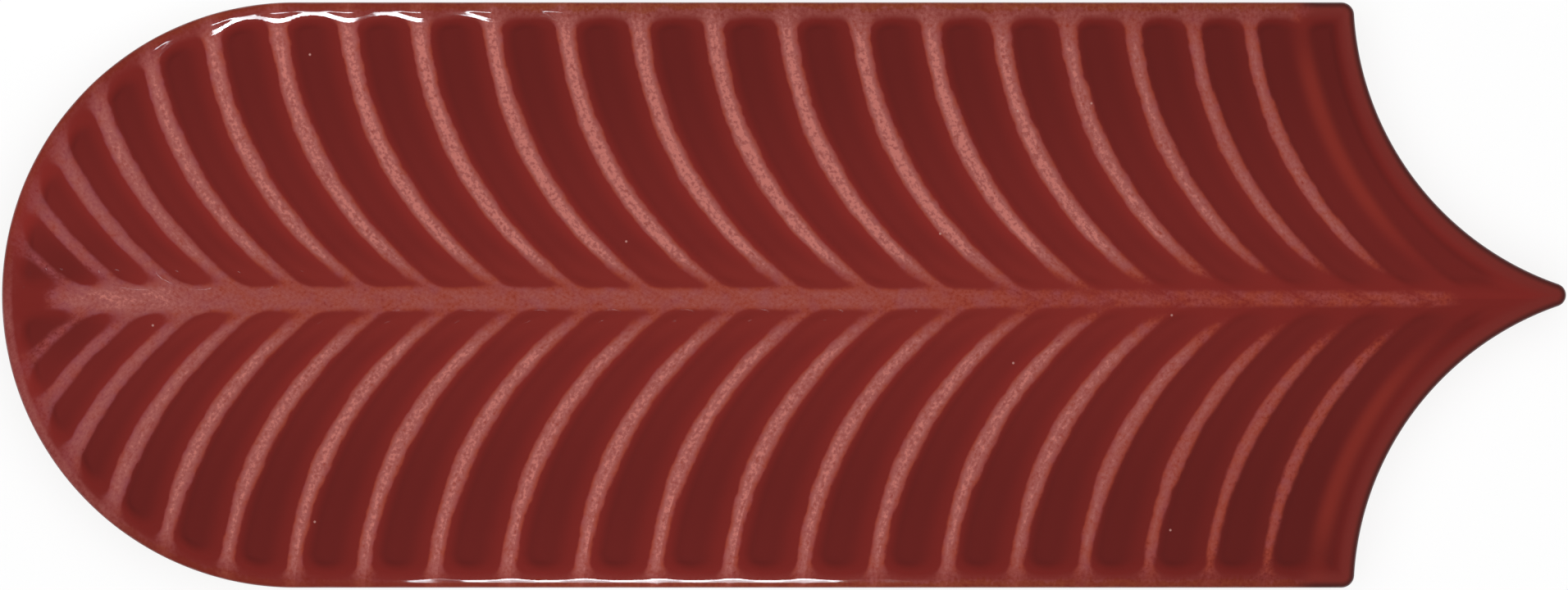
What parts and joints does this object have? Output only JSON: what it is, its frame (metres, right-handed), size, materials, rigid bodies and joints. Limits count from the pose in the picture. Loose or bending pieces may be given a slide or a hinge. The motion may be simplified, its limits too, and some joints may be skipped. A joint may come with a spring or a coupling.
{
  "type": "interlocking leaf wall tile",
  "caption": "Long leaf-shaped glazed wall tile with a midrib, curved side ribs over scooped hollows, one round end and one pointed end between hollow arcs.",
  "frame": {"origin": "middle of the flat unglazed back", "axes": "+X along the midrib from the round end to the point, +Y across the tile, +Z out of the glazed face"},
  "size_m": [0.267, 0.1, 0.01],
  "materials": {
    "red_glaze": "gloss oxblood red glaze that runs thin and pink over the ribs, on a buff clay body"
  },
  "bodies": {
    "root": {"tile": "red_glaze"}
  },
  "joints": []
}
